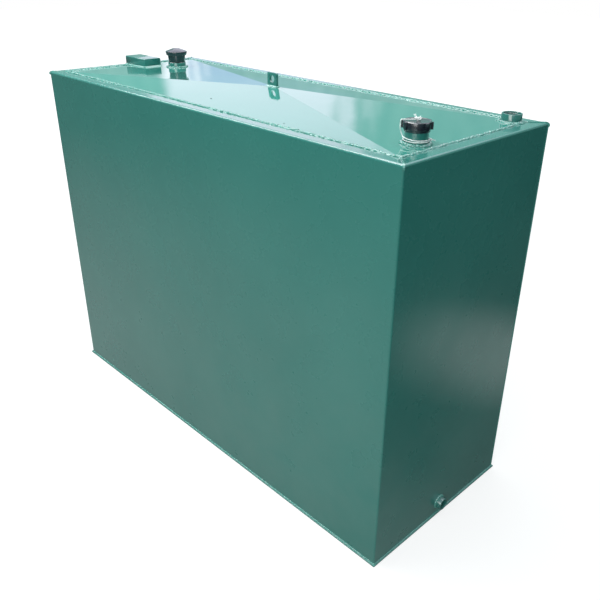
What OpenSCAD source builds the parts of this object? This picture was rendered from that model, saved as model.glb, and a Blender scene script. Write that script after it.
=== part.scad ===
// Slimline bunded oil tank: a welded sheet-steel bund with an inner oil tank inside it.
// The origin is the centre of the base plate's underside. X runs along the tank's length
// towards the end with the drain socket, Y from the front to the back, and Z up.

/* [Bund] */
// Length of the bund over its end walls
tank_l = 1680; // [1400:10:2200]
// Depth of the bund over its front and back walls
tank_w = 640; // [600:10:800]
// Height from the floor to the top of the rim
tank_h = 1220; // [1000:10:1500]
// Thickness of the bund's sheet
sheet_t = 3; // [2:0.5:4]
// Outer radius of the folded upright corners
corner_r = 5; // [4.5:0.5:8]
// Outer radius of the fold round the rim
fold_r = 7; // [5:0.5:10]
// Width of the rim flange that is folded inwards
flange_w = 44; // [36:1:60]
// Thickness of the base plate
base_t = 4; // [3:0.5:8]
// How far the base plate stands out past the walls
base_lip = 5; // [4:0.5:12]

/* [Top panel] */
// Height of the cross-broken panel's peak above the rim
peak_rise = 28; // [12:1:45]
// Distance from the middle of the tank to the peak, along the length
peak_offset = 54; // [-150:1:150]

/* [Inner tank] */
// Clear gap between the inner tank and the bund's end walls
end_gap = 35; // [20:1:36]
// Clear gap between the inner tank and the bund's front and back walls
side_gap = 35; // [20:1:38]
// Clear height between the inner tank and the rim of the bund
head_gap = 97; // [70:1:160]
// Thickness of the inner tank's sheet
inner_t = 3; // [2:0.5:4]
// Height of the bearers under the inner tank
bearer_h = 50; // [30:1:80]
// Width of each bearer
bearer_w = 80; // [50:5:120]
// Height of the two baffles
baffle_h = 800; // [500:10:840]
// Radius of the hole in each baffle
baffle_hole_r = 100; // [60:5:120]
// Cut across each lower corner of a baffle
baffle_cut = 60; // [30:5:80]
// Width of a spacer between the inner tank and the bund
spacer_w = 160; // [80:10:240]
// Height of a spacer
spacer_h = 40; // [25:5:60]

/* [Fill point] */
// Distance from the right-hand end to the fill neck's axis
fill_from_end = 98; // [88:1:300]
// Distance from the front to the fill neck's axis
fill_from_front = 168; // [120:1:220]
// Outer radius of the two-inch pipes
pipe_r = 30.15; // [28:0.05:32]
// Wall of the two-inch pipes
pipe_wall = 3.65; // [3:0.05:5]
// Height of the fill neck above the panel
fill_neck_h = 49; // [46:0.5:60]
// Height of the neck left bare below the fill cap
fill_bare_h = 30; // [28:0.5:33]
// Height of the fill cap's collar below its grip ring
collar_h = 6; // [4:0.5:8]
// Wall of the collar
collar_wall = 2.2; // [1.8:0.1:3]
// Radius of the grip ring between the lugs
grip_r = 35; // [34.5:0.1:37]
// Radius over the grip lugs
grip_lug_r = 38.6; // [38:0.1:41]
// Width of a grip lug
grip_lug_w = 8.5; // [6:0.5:12]
// Number of grip lugs
grip_lugs = 8; // [6:1:12]
// Thickness of the fill cap's top
cap_top_t = 4; // [3.5:0.5:6]
// Thickness of the gasket in the fill cap
gasket_t = 2; // [1:0.5:3]

/* [Vent] */
// Distance from the left-hand end to the vent's axis
vent_from_end = 235; // [220:1:400]
// Distance from the back to the vent's axis
vent_from_back = 235; // [120:1:300]
// Outer radius of the two-inch screwed socket
socket_r = 33; // [32:0.1:35]
// Thread bore of the two-inch screwed socket
socket_bore_r = 28.33; // [27.5:0.01:29]
// Height of the vent's socket above the panel
vent_socket_h = 18; // [16:0.5:24]
// Thickness of the seal under the vent cap
seal_t = 1.5; // [1:0.5:3]
// Length of the vent cap's screwed spigot
spigot_h = 14; // [10:0.5:15]
// Wall of the vent cap
vent_wall = 2.5; // [2:0.1:3]
// Height of the vent cap's tapered body
vent_body_h = 33; // [28:0.5:40]
// Radius of the body at its foot
vent_foot_r = 30.4; // [30:0.1:32]
// Radius of the body at its top
vent_head_r = 33.8; // [33:0.1:35]
// Radius of the hood's skirt at its lower edge
skirt_r = 37.6; // [37:0.1:39]
// Radius of the hood at its widest
hood_r = 40.5; // [39.5:0.1:43]
// Height of the hood's skirt
skirt_h = 12.5; // [10:0.5:16]
// Height of the hood's shallow cone
cone_h = 11; // [7:0.5:15]
// Radius of the flat spot on the cone
cone_top_r = 12; // [8:0.5:16]
// Height of the cone's seat above the top of the tapered body
hood_air_gap = 4; // [3:0.5:6]

/* [Gauge and drain sockets] */
// Distance from the right-hand end to the gauge socket's axis
gauge_from_end = 76; // [74:1:160]
// Distance from the back to the gauge socket's axis
gauge_from_back = 74; // [72:1:160]
// Outer radius of the gauge socket
gauge_r = 28.5; // [27:0.1:30]
// Thread bore of the gauge socket
gauge_bore_r = 22.42; // [21.5:0.01:23.5]
// Height of the gauge socket above the panel
gauge_h = 23; // [16:0.5:40]
// Outer radius of the pipe under the gauge socket
gauge_pipe_r = 24.15; // [23.6:0.05:25]
// Height of the drain socket's axis above the floor
drain_z = 44; // [36:1:120]
// Outer radius of the drain socket
drain_r = 21; // [19:0.1:24]
// Thread bore of the drain socket
drain_bore_r = 15.15; // [14:0.01:16]
// Length of the drain socket outside the end wall
drain_l = 19; // [14:0.5:36]
// Chamfer at a socket's mouth
mouth_chamfer = 1.5; // [0.5:0.1:2.5]

/* [Lug and cowl] */
// Width of the lifting lug
lug_w = 43; // [38:1:60]
// Height of the lug above the peak of the panel
lug_h = 42; // [38:1:60]
// Thickness of the lug
lug_t = 8; // [6:0.5:12]
// Radius of the hole in the lug
lug_hole_r = 11; // [8:0.5:13]
// Height of the lug's hole above the peak
lug_hole_z = 23; // [21:0.5:24]
// Length of the box-shaped vent cowl
cowl_l = 140; // [90:1:150]
// Depth of the cowl
cowl_w = 70; // [50:1:90]
// Height of the cowl's top above the rim
cowl_h = 34.5; // [24:0.5:60]
// Distance from the left-hand end to the cowl
cowl_from_end = 28; // [10:1:40]
// Distance from the front to the cowl
cowl_from_front = 305; // [230:1:330]
// Outer radius of the cowl's two folds
cowl_fold_r = 4; // [3.5:0.5:6]

/* [Welds] */
// Width of the bead between the rim and the panel
bead_w = 8; // [5:0.5:12]
// Height of that bead
bead_h = 2.4; // [1.5:0.1:4]
// Leg of the fillet weld round the base
base_leg = 4; // [2.5:0.5:4]
// Leg of a pipe's fillet weld along the panel
ring_leg = 9; // [5:0.5:11]
// Leg of a pipe's fillet weld up the pipe
ring_rise = 4.5; // [3:0.5:4.5]

/* [Tether] */
// Diameter of the cord that keeps the fill cap on the tank
cord_d = 2.8; // [2:0.1:3.2]
// Height of the upper turn above the panel
upper_turn_z = 13.5; // [13:0.5:18]
// Height of the lower turn above the panel
lower_turn_z = 7.5; // [7:0.5:8]

/* [Hidden] */
$fn = 48;

green = "#417d72";
deep_green = "#2f5f57";
bead_green = "#6fb3a6";
cap_black = "#1c222c";
seal_black = "#111214";
cord_white = "#cfdcd8";
gauze_grey = "#8a8f90";

// Running clearance between round pieces, and a little more than nothing for clean cuts
clear = 0.35;
eps = 0.1;
far = 4000;

// Places on the plan
peak_x = peak_offset;
rim_x = tank_l / 2 - flange_w;
rim_y = tank_w / 2 - flange_w;
fill_x = tank_l / 2 - fill_from_end;
fill_y = fill_from_front - tank_w / 2;
vent_x = vent_from_end - tank_l / 2;
vent_y = tank_w / 2 - vent_from_back;
gauge_x = tank_l / 2 - gauge_from_end;
gauge_y = tank_w / 2 - gauge_from_back;
lug_x = peak_x - 4;
cowl_x = cowl_from_end - tank_l / 2;
cowl_y = cowl_from_front - tank_w / 2;

// Height of the panel's upper face over a place on the plan
function fall_x(x) = x > peak_x ? (rim_x - x) / (rim_x - peak_x) : (x + rim_x) / (peak_x + rim_x);
function fall_y(y) = (rim_y - abs(y)) / rim_y;
function panel_z(x, y) = tank_h + peak_rise * max(0, min(fall_x(x), fall_y(y)));
fill_z = panel_z(fill_x, fill_y);
vent_z = panel_z(vent_x, vent_y);
gauge_z = panel_z(gauge_x, gauge_y);

// Inner tank
inner_l = tank_l - 2 * sheet_t - 2 * end_gap;
inner_w = tank_w - 2 * sheet_t - 2 * side_gap;
inner_z = base_t + bearer_h;
inner_top_z = tank_h - sheet_t - head_gap;
spacer_z = inner_top_z - 3 * spacer_h;
side_spacer_x = inner_l / 3;
baffle_x = inner_l / 6;
gauge_pipe_wall = 3.25;

// The gauge pipe ends just under the lowest side of the bore of the socket that stands over it
gauge_pipe_top = min(panel_z(gauge_x + gauge_bore_r, gauge_y),
    panel_z(gauge_x, gauge_y + gauge_bore_r)) - clear;

// Joints of the inner tank's top, which is in three sheets, a little way in from the pipes
joint_margin = 60;
left_joint_x = vent_x + pipe_r + joint_margin;
right_joint_x = fill_x - pipe_r - joint_margin;

// Fill cap
fill_neck_top = fill_z + fill_neck_h;
cap_foot_z = fill_z + fill_bare_h;
grip_foot_z = cap_foot_z + collar_h;
cap_roof_z = fill_neck_top + gasket_t;
cap_top_z = cap_roof_z + cap_top_t;
cap_bore_r = pipe_r + clear;
collar_r = cap_bore_r + collar_wall;
gasket_in_r = pipe_r - pipe_wall - 2;
cap_recess = 0.8;
cap_edge = 1.6;
tether_hole_r = 2.2;
grip_turn = 31.6;

// Vent cap
vent_socket_top = vent_z + vent_socket_h;
body_foot_z = vent_socket_top + seal_t;
body_top_z = body_foot_z + vent_body_h;
spigot_r = socket_bore_r - clear;
spigot_in_r = spigot_r - vent_wall;
cone_foot_z = body_top_z + hood_air_gap;
skirt_foot_z = cone_foot_z - skirt_h;
ledge = 2;
gauze_t = 1;

// Margins between the cowl's walls and the slot in the panel under it
slot_edge = 25;
slot_side = 15;

// How far the tip of a rim corner's weld hangs below the bend
corner_tip = 5;

// Leg of the cowl's fillet weld, and the room that the rim's bead leaves for it
cowl_leg = 4.5;
cowl_gap = cowl_leg + clear;

// Drain socket
wall_x = tank_l / 2;

// Rectangle with its two front corners rounded and its back edge at a given y
module front_rounded(l, w, r, back_y) {
    translate([-l / 2, r - w / 2]) square([l, back_y + w / 2 - r]);
    translate([r - l / 2, -w / 2]) square([l - 2 * r, r + eps]);
    for (side = [-1, 1])
        translate([side * (l / 2 - r), r - w / 2]) circle(r);
}

// Profile of a wall's top with both upper corners rounded, standing on z = 0
module round_top(w, h, r) {
    translate([-w / 2, 0]) square([w, h - r]);
    translate([r - w / 2, 0]) square([w - 2 * r, h]);
    for (side = [-1, 1])
        translate([side * (w / 2 - r), h - r]) circle(r);
}

// Profile extruded along X or along Y, centred, with its own y as height
module along_x(length) {
    rotate([90, 0, 90]) linear_extrude(length, center = true) children();
}
module along_y(length) {
    rotate([90, 0, 0]) linear_extrude(length, center = true) children();
}

// Low pyramid that the four creases of the panel bound, on a block of a given depth
module pyramid(depth) {
    intersection() {
        along_y(2 * rim_y) polygon([[-rim_x, -depth], [rim_x, -depth], [rim_x, 0],
            [peak_x, peak_rise], [-rim_x, 0]]);
        along_x(2 * rim_x) polygon([[-rim_y, -depth], [rim_y, -depth], [rim_y, 0],
            [0, peak_rise], [-rim_y, 0]]);
    }
}

// All the space below the upper face of the rim and the panel
module under_top() {
    translate([-far / 2, -far / 2, tank_h - far]) cube([far, far, far]);
    translate([0, 0, tank_h]) pyramid(sheet_t);
}

// The outer form of the bund, from the floor to the rim
module bund_form() {
    linear_extrude(tank_h - fold_r) front_rounded(tank_l, tank_w, corner_r, tank_w / 2);
    translate([0, 0, tank_h - 2 * fold_r]) intersection() {
        along_y(tank_w) round_top(tank_l, 2 * fold_r, fold_r);
        along_x(tank_l) round_top(tank_w, 2 * fold_r, fold_r);
    }
}

// Section of the rim: a quarter bend and the flange, measured inwards from the wall's face
module rim_section() {
    translate([fold_r, -sheet_t]) square([flange_w - fold_r, sheet_t]);
    intersection() {
        translate([0, -fold_r]) square([fold_r, fold_r]);
        translate([fold_r, -fold_r]) difference() {
            circle(fold_r);
            circle(fold_r - sheet_t);
        }
    }
}

// One wall with its rim, mitred at both ends; run is its length, reach its distance out
module skin_side(turn, run, reach) {
    rotate(turn) intersection() {
        translate([0, -reach, tank_h]) along_x(run) {
            rim_section();
            translate([0, base_t - tank_h]) square([sheet_t, tank_h - base_t - fold_r]);
        }
        linear_extrude(tank_h + 1) polygon([[-run / 2, -reach], [run / 2, -reach],
            [run / 2 - flange_w, flange_w - reach], [flange_w - run / 2, flange_w - reach]]);
    }
}

// What the rounding takes off the two upright front corners, below the rim
module corner_trim() {
    for (side = [-1, 1])
        translate([side * (tank_l / 2 - corner_r), corner_r - tank_w / 2])
            linear_extrude(tank_h - fold_r) difference() {
                translate([min(0, side * 2 * corner_r), -2 * corner_r]) square(2 * corner_r);
                circle(corner_r);
            }
}

// Round bar between two points
module rod(p, q, r) {
    d = q - p;
    translate(p) rotate([0, acos(d[2] / norm(d)), atan2(d[1], d[0])]) cylinder(h = norm(d), r = r);
}

// Radius of a bead of a given width and height that lies on a surface
function bead_r(w, h) = (w * w / 4 + h * h) / (2 * h);

// Tube on a vertical axis
module tube(x, y, z0, z1, r, bore) {
    translate([x, y, z0]) difference() {
        cylinder(h = z1 - z0, r = r);
        translate([0, 0, -eps]) cylinder(h = z1 - z0 + 2 * eps, r = bore);
    }
}

// Fillet weld round a pipe that stands on the panel
module ring_weld(x, y, r) {
    foot = panel_z(x, y);
    color(bead_green) difference() {
        translate([x, y, foot]) rotate_extrude() polygon([[r + clear, -ring_rise],
            [r + ring_leg, -ring_rise], [r + ring_leg, 0.3], [r + ring_leg * 0.5, ring_rise * 0.65],
            [r + clear + 0.6, ring_rise], [r + clear, ring_rise]]);
        under_top();
    }
}

module base_plate() {
    l = tank_l + 2 * base_lip;
    w = tank_w + 2 * base_lip;
    color(deep_green) translate([-l / 2, -w / 2, 0]) cube([l, w, base_t]);
}

module front_skin() {
    color(green) difference() {
        skin_side(0, tank_l, tank_w / 2);
        corner_trim();
    }
}

// End wall; it stops short of the back skin, which covers its edge
module end_skin(side) {
    back = tank_w / 2 - sheet_t;
    color(green) difference() {
        skin_side(side * 90, tank_w, tank_l / 2);
        corner_trim();
        translate([side * tank_l / 2 - 2 * sheet_t, back, 0])
            cube([4 * sheet_t, 2 * sheet_t, tank_h - fold_r]);
        if (side > 0) translate([wall_x - 2 * sheet_t, 0, drain_z]) rotate([0, 90, 0])
            cylinder(h = 4 * sheet_t, r = drain_bore_r);
    }
}

module left_end_skin() {
    end_skin(-1);
}

module right_end_skin() {
    end_skin(1);
}

module back_skin() {
    run = tank_l;
    reach = tank_w / 2;
    color(green) rotate(180) union() {
        intersection() {
            translate([0, -reach, tank_h]) along_x(run) rim_section();
            linear_extrude(tank_h + 1) polygon([[-run / 2, -reach], [run / 2, -reach],
                [run / 2 - flange_w, flange_w - reach], [flange_w - run / 2, flange_w - reach]]);
        }
        translate([-run / 2, -reach, base_t]) cube([run, sheet_t, tank_h - fold_r - base_t]);
    }
}

module top_panel() {
    slot = [cowl_l - 2 * slot_edge, cowl_w - 2 * slot_side];
    color(green) difference() {
        translate([0, 0, tank_h]) pyramid(sheet_t);
        translate([0, 0, tank_h - sheet_t]) pyramid(sheet_t);
        for (p = [[fill_x, fill_y, pipe_r], [vent_x, vent_y, pipe_r], [gauge_x, gauge_y, gauge_pipe_r]])
            translate([p[0], p[1], tank_h - 2 * sheet_t])
                cylinder(h = peak_rise + 4 * sheet_t, r = p[2] + clear);
        translate([cowl_x + cowl_l - slot[0] - slot_side, cowl_y + slot_side, tank_h - 2 * sheet_t])
            cube([slot[0], slot[1], peak_rise + 4 * sheet_t]);
    }
}

module base_seam_weld() {
    l = tank_l + 2 * base_leg;
    w = tank_w + 2 * base_leg;
    color(bead_green) translate([0, 0, base_t]) difference() {
        intersection() {
            along_y(w) polygon([[-l / 2, 0], [l / 2, 0], [tank_l / 2, base_leg], [-tank_l / 2, base_leg]]);
            along_x(l) polygon([[-w / 2, 0], [w / 2, 0], [tank_w / 2, base_leg], [-tank_w / 2, base_leg]]);
        }
        translate([0, 0, -eps]) linear_extrude(2 * base_leg)
            front_rounded(tank_l, tank_w, corner_r, tank_w / 2);
    }
}

module back_seam_welds() {
    h = 1.2;
    r = bead_r(6, h);
    foot = base_t + base_leg;
    color(bead_green) for (side = [-1, 1])
        translate([side * tank_l / 2, tank_w / 2 - sheet_t, foot])
            linear_extrude(tank_h - fold_r - corner_tip - foot - clear) difference() {
                translate([side * (h - r), 0]) circle(r);
                translate([-r - side * r, -2 * r]) square([2 * r, 4 * r]);
            }
}

// Section of the bead over the joint of rim and panel; the panel side is cut to its slope
module bead_section(slope) {
    r = bead_r(bead_w, bead_h);
    difference() {
        translate([0, bead_h - r]) circle(r);
        polygon([[-2 * r, 0], [0, 0], [2 * r, 2 * r * slope], [2 * r, -2 * r], [-2 * r, -2 * r]]);
    }
}

// Bead along one side of the rim's inner edge
module seam_bead(turn, run, reach, slope) {
    rotate(turn) translate([0, -reach, tank_h]) along_x(run) bead_section(slope);
}

module top_seam_weld() {
    short_run = 2 * rim_y - bead_w - 1;
    color(bead_green) difference() {
        union() {
            for (turn = [0, 180])
                seam_bead(turn, 2 * rim_x + bead_w, rim_y, peak_rise / rim_y);
            seam_bead(90, short_run, rim_x, peak_rise / (rim_x - peak_x));
            seam_bead(-90, short_run, rim_x, peak_rise / (rim_x + peak_x));
        }
        translate([cowl_x - cowl_gap, cowl_y - cowl_gap, tank_h - bead_w])
            cube([cowl_l + 2 * cowl_gap, cowl_w + 2 * cowl_gap, cowl_h]);
        translate([gauge_x, gauge_y, tank_h - bead_w])
            cylinder(h = peak_rise, r = gauge_r + ring_leg + 2 * clear);
    }
}

// Point on a corner's mitre line, off the fold's face: distance out from the corner, and height
function mitre_pt(phi, off) = [-sqrt(2) * (fold_r * (1 - sin(phi)) - off * sin(phi)),
    off * cos(phi) - fold_r * (1 - cos(phi))];

// Mitre bead of one rim corner: along the flange, over the fold and down to a tip
module rim_corner_welds() {
    h = 1.8;
    sink = 3;
    width = 5;
    start = -sqrt(2) * (flange_w - bead_w / 2 - 0.5);
    color(bead_green) difference() {
        for (sx = [-1, 1], sy = [-1, 1])
            translate([sx * tank_l / 2, sy * tank_w / 2, tank_h]) rotate(atan2(sy, sx)) along_y(width)
                polygon(concat([[start, -sink]], [for (phi = [0:15:90]) mitre_pt(phi, -sink)],
                    [[-sink, 2 - fold_r - corner_tip], [0, -fold_r - corner_tip],
                    [h, 1 - fold_r - corner_tip]],
                    [for (phi = [90:-15:0]) mitre_pt(phi, h)], [[start, h]]));
        bund_form();
    }
}

module lifting_lug() {
    top = tank_h + peak_rise + lug_h;
    foot = tank_h;
    cut = 3;
    color(deep_green) difference() {
        translate([lug_x, 0, foot]) along_y(lug_t) polygon([[-lug_w / 2, 0], [lug_w / 2, 0],
            [lug_w / 2, top - foot - cut], [lug_w / 2 - cut, top - foot],
            [cut - lug_w / 2, top - foot], [-lug_w / 2, top - foot - cut]]);
        translate([lug_x, 0, tank_h + peak_rise + lug_hole_z]) rotate([90, 0, 0])
            cylinder(h = 2 * lug_t, r = lug_hole_r, center = true);
        under_top();
    }
}

// Section of a fillet weld, with its heel at the origin, legs along +x and +y
module fillet_section(leg, depth) {
    polygon([[0, -depth], [leg, -depth], [leg, 0.4], [leg * 0.55, leg * 0.62], [0.4, leg], [0, leg]]);
}

module lug_weld() {
    leg = 4.5;
    sink = 2;
    foot = tank_h + peak_rise - 0.6;
    color(bead_green) difference() {
        for (turn = [0, 180])
            translate([lug_x, 0, foot]) rotate(turn) translate([0, lug_t / 2, 0])
                along_x(lug_w) fillet_section(leg, sink);
        under_top();
    }
}

// The cowl's folded channel: a profile with two rounded upper corners
module cowl_block(l, w, h, r) {
    translate([cowl_x + cowl_l / 2, cowl_y + cowl_w / 2, tank_h - sheet_t])
        along_x(l) round_top(w, h + sheet_t, r);
}

module vent_cowl() {
    t = sheet_t;
    color(green) difference() {
        cowl_block(cowl_l, cowl_w, cowl_h, cowl_fold_r);
        cowl_block(cowl_l - 2 * t, cowl_w - 2 * t, cowl_h - t, cowl_fold_r - t + eps);
        under_top();
    }
}

module cowl_weld() {
    leg = cowl_leg;
    sink = 3;
    x1 = cowl_x + cowl_l;
    z1 = panel_z(x1, cowl_y + cowl_w / 2);
    slope = atan2(z1 - tank_h, x1 + rim_x);
    run = norm([z1 - tank_h, x1 + rim_x]);
    mid_y = cowl_y + cowl_w / 2;
    flat = -rim_x - cowl_x;
    color(bead_green) difference() {
        union() {
            for (side = [-1, 1])
                translate([-rim_x, mid_y + side * cowl_w / 2, tank_h]) rotate([0, -slope, 0])
                    translate([run / 2, 0, 0]) rotate(90 - side * 90) along_x(run)
                        fillet_section(leg, sink);
            translate([x1, mid_y, z1]) rotate(-90) along_x(cowl_w) fillet_section(leg, sink);
        }
        under_top();
    }
    color(bead_green) if (flat > leg) {
        for (side = [-1, 1])
            translate([cowl_x + flat / 2 - clear, mid_y + side * cowl_w / 2, tank_h])
                rotate(90 - side * 90) along_x(flat - clear) fillet_section(leg, 0);
        translate([cowl_x, mid_y, tank_h]) rotate(90) along_x(cowl_w) fillet_section(leg, 0);
    }
}

module fill_neck() {
    color(green) tube(fill_x, fill_y, inner_top_z, fill_neck_top, pipe_r, pipe_r - pipe_wall);
}

module fill_weld() {
    ring_weld(fill_x, fill_y, pipe_r);
}

module fill_cap() {
    color(cap_black) translate([fill_x, fill_y, 0]) {
        rotate_extrude() polygon([[tether_hole_r, cap_roof_z], [cap_bore_r, cap_roof_z],
            [cap_bore_r, cap_foot_z], [collar_r - 0.6, cap_foot_z], [collar_r, grip_foot_z],
            [grip_r - 0.8, grip_foot_z], [grip_r, grip_foot_z + 0.8],
            [grip_r, cap_top_z - cap_edge], [grip_r - cap_edge, cap_top_z],
            [grip_r - 4, cap_top_z], [grip_r - 5, cap_top_z - cap_recess],
            [tether_hole_r, cap_top_z - cap_recess]]);
        for (i = [0:grip_lugs - 1])
            rotate(grip_turn + i * 360 / grip_lugs)
                translate([grip_r - 1.5, -grip_lug_w / 2, grip_foot_z])
                    cube([grip_lug_r - grip_r + 1.5, grip_lug_w, cap_top_z - cap_edge - grip_foot_z]);
    }
}

module fill_cap_gasket() {
    color(seal_black) tube(fill_x, fill_y, fill_neck_top, cap_roof_z, pipe_r, gasket_in_r);
}

// The tether's route, in radius, angle and height round the fill neck's axis. It lies over the
// cap, drops outside the lugs and takes two turns round the neck.
tether_a = 226;
turn_r = pipe_r + clear + cord_d / 2;
drop_r = grip_lug_r + 1 + cord_d / 2;
lie_z = cap_top_z + clear + cord_d / 2;
over_pts = [[3, lie_z - cap_top_z + 1], [14, lie_z - cap_top_z], [21, lie_z - cap_top_z],
    [28, lie_z - cap_top_z], [34, lie_z - cap_top_z], [38.5, 1.6], [drop_r, -1.5]];
drop_pts = [[drop_r, -8], [drop_r, -14], [drop_r - 0.4, -20], [drop_r - 2, -26]];
turn_top = upper_turn_z + fill_z;
turn_low = lower_turn_z + fill_z;
turns = 1.5;
turn_steps = 42;
tie_a = tether_a + 8 + 360 * turns;
function polar(r, a, z) = [fill_x + r * cos(a), fill_y + r * sin(a), z];
over_route = [for (p = over_pts) polar(p[0], tether_a, cap_top_z + p[1])];
drop_route = [for (p = drop_pts) polar(p[0], tether_a, cap_top_z + p[1])];
turn_route = [for (i = [0:turn_steps])
    let (s = i / turn_steps, a = tether_a + 8 + s * 360 * turns)
        polar(turn_r + 3 * max(0, 1 - 8 * s), a, turn_top + (turn_low - turn_top) * s
            + 4 * max(0, 1 - 8 * s))];
route = concat(over_route, drop_route, turn_route);

// Sweep of an eight-sided ring along a stretch of the tether's route
function unit(v) = v / norm(v);
function tangent(i) = unit(route[min(i + 1, len(route) - 1)] - route[max(i - 1, 0)]);
function level(u, t) = unit(u - (u * t) * t);
ring_up = [for (i = 0, u = level([0, 0, 1], tangent(0)); i < len(route);
    i = i + 1, u = level(u, tangent(min(i, len(route) - 1)))) u];
module cord_sweep(first, last) {
    sides = 8;
    n = last - first + 1;
    rings = [for (i = [first:last], k = [0:sides - 1])
        let (a = 360 * k / sides)
            route[i] + cord_d / 2 * (cos(a) * ring_up[i] + sin(a) * cross(tangent(i), ring_up[i]))];
    walls = [for (i = [0:n - 2], k = [0:sides - 1])
        [i * sides + k, (i + 1) * sides + k,
            (i + 1) * sides + (k + 1) % sides, i * sides + (k + 1) % sides]];
    polyhedron(rings, concat([[for (k = [0:sides - 1]) k]], walls,
        [[for (k = [sides - 1:-1:0]) (n - 1) * sides + k]]));
}

// One loop of a knot in the cord
module cord_loop(r, tilt) {
    rotate(tilt) rotate_extrude() translate([r, 0]) circle(cord_d / 2, $fn = 16);
}

module tether_knot() {
    r = cord_d * 1.15;
    z = cap_top_z - cap_recess + cord_d / 2 + r * 0.75 + 0.6;
    color(cord_white) {
        cord_sweep(0, len(over_pts) - 1);
        translate([fill_x, fill_y, z]) {
            cord_loop(r, [35, 0, tether_a]);
            cord_loop(r, [70, 0, tether_a + 80]);
        }
        rod([fill_x, fill_y, cap_roof_z + 0.5], [fill_x, fill_y, z], cord_d / 2);
        rod([fill_x, fill_y, z + r], [fill_x - 5, fill_y + 1, z + r + 6], cord_d / 2);
    }
}

module tether_drop() {
    color(cord_white) cord_sweep(len(over_pts) - 1, len(over_pts) + len(drop_pts) - 1);
}

module tether_wraps() {
    end = route[len(route) - 1];
    r = cord_d * 0.95;
    away = [cos(tie_a), sin(tie_a), 0];
    tie = end + (r + cord_d / 2) * away;
    color(cord_white) {
        cord_sweep(len(over_pts) + len(drop_pts) - 1, len(route) - 1);
        translate(tie) {
            cord_loop(r, [55, 0, tie_a]);
            cord_loop(r, [80, 10, tie_a + 70]);
        }
        rod(tie, tie + [9, 5, -1], cord_d / 2);
    }
}

module vent_pipe() {
    color(green) intersection() {
        tube(vent_x, vent_y, inner_top_z, tank_h + peak_rise, pipe_r, pipe_r - pipe_wall);
        under_top();
    }
}

module vent_socket() {
    c = mouth_chamfer;
    color(green) difference() {
        translate([vent_x, vent_y, 0]) rotate_extrude() polygon([[socket_bore_r, tank_h - eps],
            [socket_r, tank_h - eps], [socket_r, vent_socket_top - 1], [socket_r - 1, vent_socket_top],
            [socket_bore_r + c, vent_socket_top], [socket_bore_r, vent_socket_top - c]]);
        under_top();
    }
}

module vent_weld() {
    ring_weld(vent_x, vent_y, socket_r);
}

module vent_cap_seal() {
    color(seal_black) tube(vent_x, vent_y, vent_socket_top, body_foot_z, socket_r - 1.5, spigot_r + clear);
}

module vent_cap_body() {
    head_wall = vent_head_r - vent_wall;
    color(cap_black) translate([vent_x, vent_y, 0]) rotate_extrude() polygon([
        [spigot_in_r - ledge, body_foot_z - spigot_h], [spigot_r - 1, body_foot_z - spigot_h],
        [spigot_r, body_foot_z - spigot_h + 1], [spigot_r, body_foot_z], [vent_foot_r, body_foot_z],
        [vent_head_r, body_top_z], [head_wall, body_top_z], [spigot_in_r, body_foot_z + 3],
        [spigot_in_r, body_foot_z - spigot_h + ledge],
        [spigot_in_r - ledge, body_foot_z - spigot_h + ledge]]);
}

module vent_gauze() {
    color(gauze_grey) translate([vent_x, vent_y, body_foot_z - spigot_h + ledge])
        cylinder(h = gauze_t, r = spigot_in_r - clear);
}

module vent_cap_hood() {
    w = 2;
    ribs = 4;
    color(cap_black) translate([vent_x, vent_y, 0]) {
        rotate_extrude() polygon([[0, cone_foot_z + cone_h - w], [cone_top_r, cone_foot_z + cone_h - w],
            [hood_r - w - 2, cone_foot_z - w], [skirt_r - w, skirt_foot_z], [skirt_r, skirt_foot_z],
            [hood_r, cone_foot_z - 1], [hood_r - 0.5, cone_foot_z + 0.8],
            [cone_top_r, cone_foot_z + cone_h], [0, cone_foot_z + cone_h]]);
        for (i = [0:ribs - 1])
            rotate(45 + i * 360 / ribs) translate([vent_head_r - 7, -1.25, body_top_z])
                cube([10, 2.5, cone_foot_z - body_top_z + 1]);
    }
}

module gauge_pipe() {
    color(green) tube(gauge_x, gauge_y, inner_top_z, gauge_pipe_top, gauge_pipe_r,
        gauge_pipe_r - gauge_pipe_wall);
}

module gauge_socket() {
    c = mouth_chamfer;
    top = gauge_z + gauge_h;
    color(green) difference() {
        translate([gauge_x, gauge_y, 0]) rotate_extrude() polygon([[gauge_bore_r, tank_h - eps],
            [gauge_r, tank_h - eps], [gauge_r, top - 1], [gauge_r - 1, top],
            [gauge_bore_r + c, top], [gauge_bore_r, top - c]]);
        under_top();
    }
}

module gauge_weld() {
    ring_weld(gauge_x, gauge_y, gauge_r);
}

module drain_socket() {
    c = mouth_chamfer;
    color(green) translate([wall_x, 0, drain_z]) rotate([0, 90, 0]) rotate_extrude() polygon([
        [drain_bore_r, 0], [drain_r, 0], [drain_r, drain_l - 1], [drain_r - 1, drain_l],
        [drain_bore_r + c, drain_l], [drain_bore_r, drain_l - c]]);
}

module drain_weld() {
    r = drain_r + clear;
    leg = 5;
    color(bead_green) translate([wall_x, 0, drain_z]) rotate([0, 90, 0]) rotate_extrude() polygon([
        [r, 0], [r + leg, 0], [r + leg * 0.55, leg * 0.6], [r, leg]]);
}

// Upright sheet of the inner tank, between its top and bottom sheets
module inner_wall(l, w, x, y) {
    color(deep_green) translate([x - l / 2, y - w / 2, inner_z + inner_t])
        cube([l, w, inner_top_z - inner_z - 2 * inner_t]);
}

module inner_front_skin() {
    inner_wall(inner_l, inner_t, 0, (inner_t - inner_w) / 2);
}

module inner_left_end() {
    inner_wall(inner_t, inner_w - 2 * inner_t, (inner_t - inner_l) / 2, 0);
}

module inner_right_end() {
    inner_wall(inner_t, inner_w - 2 * inner_t, (inner_l - inner_t) / 2, 0);
}

module inner_back_skin() {
    inner_wall(inner_l, inner_t, 0, (inner_w - inner_t) / 2);
}

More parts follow.
